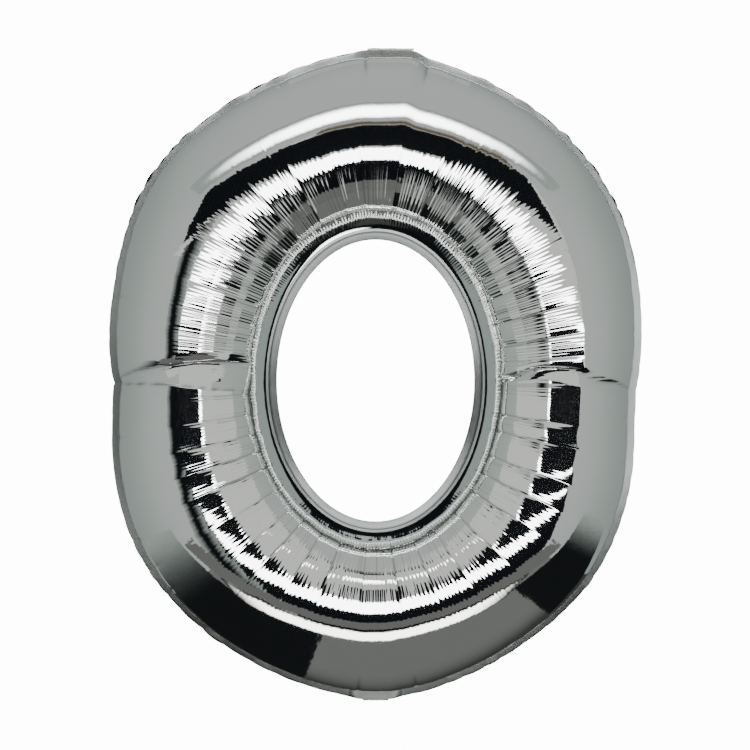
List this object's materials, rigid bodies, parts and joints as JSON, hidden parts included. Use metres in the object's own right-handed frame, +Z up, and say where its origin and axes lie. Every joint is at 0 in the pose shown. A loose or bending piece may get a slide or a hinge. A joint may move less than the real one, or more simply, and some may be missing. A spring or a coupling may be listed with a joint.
{
  "type": "foil number balloon",
  "caption": "Inflated mirror-foil balloon shaped as the figure 0, with a welded seam, radial wrinkles, a folding hanging tab and a folding inflation neck with a self-sealing valve.",
  "frame": {"origin": "centre of the inflated figure's bounding box, in the plane of the seams", "axes": "+Z up the figure, +X to the viewer's right when facing its front, the front faces -Y"},
  "size_m": [0.704, 0.213, 0.8637],
  "materials": {
    "mirror_foil": "polished",
    "seam_foil": "satin",
    "clear_film": "satin"
  },
  "bodies": {
    "envelope": {"front_panel": "mirror_foil", "back_panel": "mirror_foil", "outer_seam_weld": "seam_foil", "inner_seam_weld": "seam_foil", "valve_front_film": "clear_film", "valve_back_film": "clear_film"},
    "neck": {"neck_front_foil": "seam_foil", "neck_back_foil": "seam_foil", "neck_valve_front_film": "clear_film", "neck_valve_back_film": "clear_film"},
    "tab": {"hanging_tab": "seam_foil"}
  },
  "joints": [
    {"name": "neck_fold", "type": "hinge", "parent": "envelope", "child": "neck", "pos_m": [0, 0, -0.43], "axis": [-1, 0, 0], "range_deg": [-4, 224]},
    {"name": "tab_fold", "type": "hinge", "parent": "envelope", "child": "tab", "pos_m": [0.02, 0, 0.43], "axis": [1, 0, 0], "range_deg": [-26, 194]}
  ]
}
